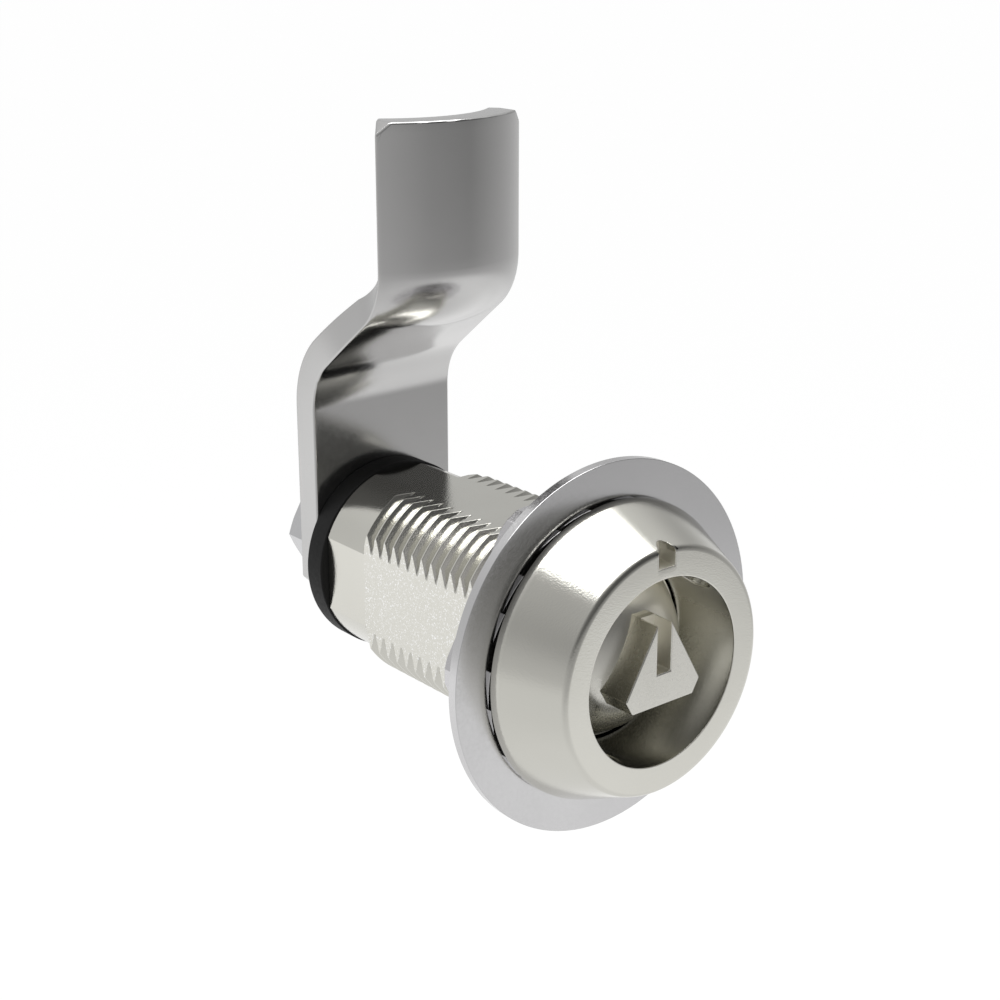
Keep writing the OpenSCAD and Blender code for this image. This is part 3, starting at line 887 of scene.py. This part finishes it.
def camSection(station, size):
    y, z, slant, share = station
    half = size["width"] / 2
    arch = 2 * math.atan(max(size["bulge"] * share, 0.0001) / half)
    radius = half / math.sin(arch)
    points = []
    for depth, order in ((0, range(size["widthSteps"] + 1)),
                         (size["thick"], range(size["widthSteps"], -1, -1))):
        for step in order:
            angle = arch * (2 * step / size["widthSteps"] - 1)
            out = (radius - depth) * math.cos(angle) - radius * math.cos(arch)
            points.append(((radius - depth) * math.sin(angle), y - out * math.cos(slant),
                           z - out * math.sin(slant)))
    return points


def makeCam(size):
    stations = camStations(size)
    ring = 2 * (size["widthSteps"] + 1)
    points = [point for station in stations for point in camSection(station, size)]
    faces = []
    for row in range(len(stations) - 1):
        for place in range(ring):
            after = (place + 1) % ring
            faces.append([row * ring + place, (row + 1) * ring + place,
                          (row + 1) * ring + after, row * ring + after])
    last = (len(stations) - 1) * ring
    for place in range(size["widthSteps"]):
        other = ring - 1 - place
        faces.append([place, place + 1, other - 1, other])
        faces.append([last + place, last + other, last + other - 1, last + place + 1])
    cam = solidFrom("cam_sheet", points, faces)
    half = size["square"] / 2
    rear = size["front"] + size["thick"] + past
    cut(cam, block("hole", (-half, size["front"] - past, -half), (half, rear, half)))
    front = size["front"] - size["crank"] - size["bulge"] - past
    for outward in (-1, 1):
        side = outward * size["width"] / 2
        for upward, edge, chamfer in ((1, size["top"], size["tipChamfer"]),
                                      (-1, size["bottom"], size["heelChamfer"])):
            corner = [(side - outward * (chamfer + 1), edge + upward),
                      (side + outward, edge - upward * (chamfer + 1)),
                      (side + outward, edge + upward)]
            cut(cam, prism("corner", corner, front, rear))
    return softenEdges(cam, [
        (lambda middle: max(abs(middle.x), abs(middle.z)) < half + 0.1, size["holeEdge"]),
        (everywhere, size["edge"])], 3, 35)


finishPiece(makeCam(camSizes), zincCam, "rotor", ["cam"])
print("cam is made")


# Washers and screw that hold the cam

fixingSizes = {"front": 37.4, "flatOuter": 14.0, "flatThick": 1.6, "springOuter": 11.8,
               "springThick": 1.6, "hole": 6.4, "split": 1.0, "splitSlant": 25,
               "shank": 5.96, "shankRoot": 4.9, "shankPitch": 1.0, "length": 16.0,
               "shankPlain": 2.5, "grooveHalf": 0.06, "grooveOver": 0.05, "shankEdge": 0.02,
               "headFlats": 10.0, "headHigh": 4.0, "headChamfer": 0.4, "edge": 0.1}


def ringPlate(name, hole, outer, front, rear):
    return revolve(name, [(hole / 2, front), (outer / 2, front), (outer / 2, rear),
                          (hole / 2, rear)], 128)


def makeFixing(size):
    seat = size["front"] + size["flatThick"]
    flat = softenEdges(ringPlate("cam_flat_washer", size["hole"], size["flatOuter"],
                                 size["front"], seat), [(everywhere, size["edge"])], 3)
    head = seat + size["springThick"]
    spring = ringPlate("cam_spring_washer", size["hole"], size["springOuter"], seat, head)
    gap = block("split", (-size["split"] / 2, -4, 0), (size["split"] / 2, 4, 12))
    gap.data.transform(Matrix.Translation((0, (seat + head) / 2, 0))
                       @ Matrix.Rotation(math.radians(size["splitSlant"]), 4, "Z"))
    spring = softenEdges(cut(spring, gap), [(everywhere, size["edge"])], 3, clamp=True)

    screw = hexBlank("cam_screw_body", size["headFlats"], size["headChamfer"], head,
                     head + size["headHigh"])
    shank, root, tip = size["shank"] / 2, size["shankRoot"] / 2, head - size["length"]
    rodShape = revolve("shank", [(0, tip), (root, tip), (shank, tip + shank - root),
                                 (shank, head + past), (0, head + past)], 96)
    pitch, outer = size["shankPitch"], shank + size["grooveOver"]
    cut(rodShape, fromTree("groove", helixTree, {
        "Turns": (size["length"] - size["shankPlain"]) / pitch, "Pitch": pitch,
        "Start": tip - pitch / 2, "Inner radius": root, "Outer radius": outer,
        "Inner half width": size["grooveHalf"],
        "Outer half width": size["grooveHalf"] + (outer - root) * math.tan(math.radians(30)),
        "Steps per turn": 48}))
    cut(screw, rodShape, "UNION")
    screw = softenEdges(screw, [(lambda middle: middle.y > head - 0.1, size["edge"]),
                                (everywhere, size["shankEdge"])], 2, clamp=True)
    return flat, spring, screw


flatWasher, springWasher, camScrew = makeFixing(fixingSizes)
finishPiece(flatWasher, brightSteel, "rotor", ["cam_washer"])
finishPiece(springWasher, brightSteel, "rotor", ["spring_lock_washer"])
finishPiece(camScrew, brightSteel, "rotor", ["cam_screw"])
print("washers and screw are made")


# Floor, backdrop and light

studio = {
    "floorHeight": -0.2, "floorReach": 6.0, "floorTone": 0.9, "shade": 0.2, "white": 1.15,
    "mirrorTone": 0.74, "world": 0.4,
    "softbox": {"place": (0.005, 0.085, 0.32), "size": (0.37, 0.23), "power": 0.9},
}

# plain surround seen only in polished faces: its outline as (radius, height) in metres, and
# its tone at some slopes of the line of sight, by compass angle from the rear over the right
surround = {
    "outline": [(0.01, -0.19), (0.2, -0.19), (0.4, -0.19), (0.54, -0.19), (0.6, -0.12),
                (0.6, 0.05), (0.58, 0.2), (0.52, 0.34), (0.46, 0.42), (0.36, 0.5), (0.24, 0.55)],
    "angles": (-180, -140, -90, -40, 0, 55, 100, 140, 180),
    "tones": [
        (-0.95, (0.78,) * 9),
        (-0.60, (0.72, 0.68, 0.72, 0.88, 0.88, 1.05, 0.90, 0.88, 0.72)),
        (-0.45, (0.66, 0.60, 0.72, 0.95, 0.84, 0.90, 0.84, 0.88, 0.66)),
        (-0.28, (0.45, 0.52, 0.72, 0.98, 0.80, 0.74, 0.56, 0.47, 0.45)),
        (-0.08, (0.32, 0.45, 0.56, 0.66, 0.62, 0.68, 0.46, 0.27, 0.32)),
        (0.35, (0.10, 0.14, 0.42, 0.62, 0.58, 0.50, 0.28, 0.08, 0.10)),
        (0.78, (0.12, 0.16, 0.50, 0.74, 0.74, 0.78, 0.55, 0.08, 0.10)),
        (0.92, (0.40, 0.40, 0.60, 0.74, 0.74, 0.76, 0.60, 0.40, 0.40)),
    ],
}


def makeStage(setup):
    # white to the camera, a light grey in mirrors, with a soft shadow of the object
    size, height = setup["floorReach"], setup["floorHeight"]
    mesh = bpy.data.meshes.new("floor")
    mesh.from_pydata([(-size, -size, height), (size, -size, height), (size, size, height),
                      (-size, size, height)], [], [(0, 1, 2, 3)])
    floor = addObject("floor", mesh)
    material, tree, shader = startMaterial("paleFloor")
    shader.inputs["Base Color"].default_value = (*(setup["floorTone"],) * 3, 1)
    shader.inputs["Roughness"].default_value = 0.9
    shader.inputs["Specular IOR Level"].default_value = 0.0
    glow = addNode(tree, "ShaderNodeEmission")
    glow.inputs["Color"].default_value = (1, 1, 1, 1)
    tree.links.new(rayTone(tree, setup["white"], setup["mirrorTone"], 0), glow.inputs["Strength"])
    blend = addNode(tree, "ShaderNodeMixShader")
    tree.links.new(rayTone(tree, 1 - setup["shade"], 1 - setup["shade"], 0), blend.inputs[0])
    tree.links.new(shader.outputs[0], blend.inputs[1])
    tree.links.new(glow.outputs[0], blend.inputs[2])
    tree.links.new(blend.outputs[0], tree.nodes["Material Output"].inputs["Surface"])
    mesh.materials.append(material)

    world = bpy.data.worlds.new("studioWorld")
    scene.world = world
    world.use_nodes = True
    tree = world.node_tree
    back = tree.nodes["Background"]
    back.inputs["Color"].default_value = (1, 1, 1, 1)
    tree.links.new(rayTone(tree, 1.0, setup["mirrorTone"], setup["world"]),
                   back.inputs["Strength"])


def rayTone(tree, camera, mirror, rest):
    # one value for camera rays, one for glossy and transmission rays and one for all others
    rays = addNode(tree, "ShaderNodeLightPath")
    both = mathNode(tree, "MAXIMUM", rays.outputs["Is Glossy Ray"],
                    rays.outputs["Is Transmission Ray"])
    inMirror = mathNode(tree, "MULTIPLY", both, mirror - rest)
    inCamera = mathNode(tree, "MULTIPLY", rays.outputs["Is Camera Ray"], camera - rest)
    return mathNode(tree, "ADD", mathNode(tree, "ADD", inMirror, inCamera), rest)


def areaLight(name, setup, aim=(0, 0.01, 0.01)):
    data = bpy.data.lights.new(name, "AREA")
    data.shape = "RECTANGLE"
    data.size, data.size_y = setup["size"]
    data.energy = setup["power"]
    lamp = bpy.data.objects.new(name, data)
    scene.collection.objects.link(lamp)
    place = Vector(setup["place"])
    lamp.location = place
    lamp.rotation_euler = (Vector(aim) - place).to_track_quat("-Z", "Y").to_euler()


def makeSurround(setup):
    # ring-shaped card round the whole set, with soft changes of tone
    count, points, faces = 48, [], []
    for radius, height in setup["outline"]:
        for place in range(count):
            angle = 2 * math.pi * place / count
            points.append((radius * math.sin(angle), radius * math.cos(angle), height))
    for row in range(len(setup["outline"]) - 1):
        for place in range(count):
            after = (place + 1) % count
            faces.append((row * count + place, row * count + after,
                          (row + 1) * count + after, (row + 1) * count + place))
    mesh = bpy.data.meshes.new("surround")
    mesh.from_pydata(points, [], faces)
    material, tree, shader = startMaterial("surround")
    shader.inputs["Base Color"].default_value = (0, 0, 0, 1)
    shader.inputs["Specular IOR Level"].default_value = 0
    shader.inputs["Emission Color"].default_value = (1, 1, 1, 1)
    place = addNode(tree, "ShaderNodeTexCoord")
    sight = addNode(tree, "ShaderNodeVectorMath", operation="NORMALIZE")
    apart = addNode(tree, "ShaderNodeSeparateXYZ")
    tree.links.new(place.outputs["Object"], sight.inputs[0])
    tree.links.new(sight.outputs[0], apart.inputs[0])
    compass = mathNode(tree, "ARCTAN2", apart.outputs["X"], apart.outputs["Y"])
    turn = mathNode(tree, "ADD", mathNode(tree, "DIVIDE", compass, 2 * math.pi), 0.5)
    tone, before = None, None
    for slope, tones in setup["tones"]:
        ramp = addNode(tree, "ShaderNodeValToRGB")
        stops = ramp.color_ramp.elements
        for angle, value in zip(setup["angles"], tones):
            at = (angle + 180) / 360
            stop = stops[0] if at == 0 else stops[-1] if at == 1 else stops.new(at)
            stop.color = (value, value, value, 1)
        tree.links.new(turn, ramp.inputs[0])
        if tone is None:
            tone, before = ramp.outputs["Color"], slope
            continue
        fade = rangeNode(tree, apart.outputs["Z"], before, slope,
                         interpolation_type="SMOOTHSTEP")
        tone, before = mixNode(tree, "RGBA", fade, tone, ramp.outputs["Color"]), slope
    tree.links.new(tone, shader.inputs["Emission Strength"])
    mesh.materials.append(material)
    ring = addObject("surround", mesh)
    ring.visible_camera = False
    ring.visible_diffuse = False
    ring.visible_shadow = False


makeStage(studio)
areaLight("softbox", studio["softbox"])
makeSurround(surround)
scene.view_settings.view_transform = "Standard"
print("studio is set")
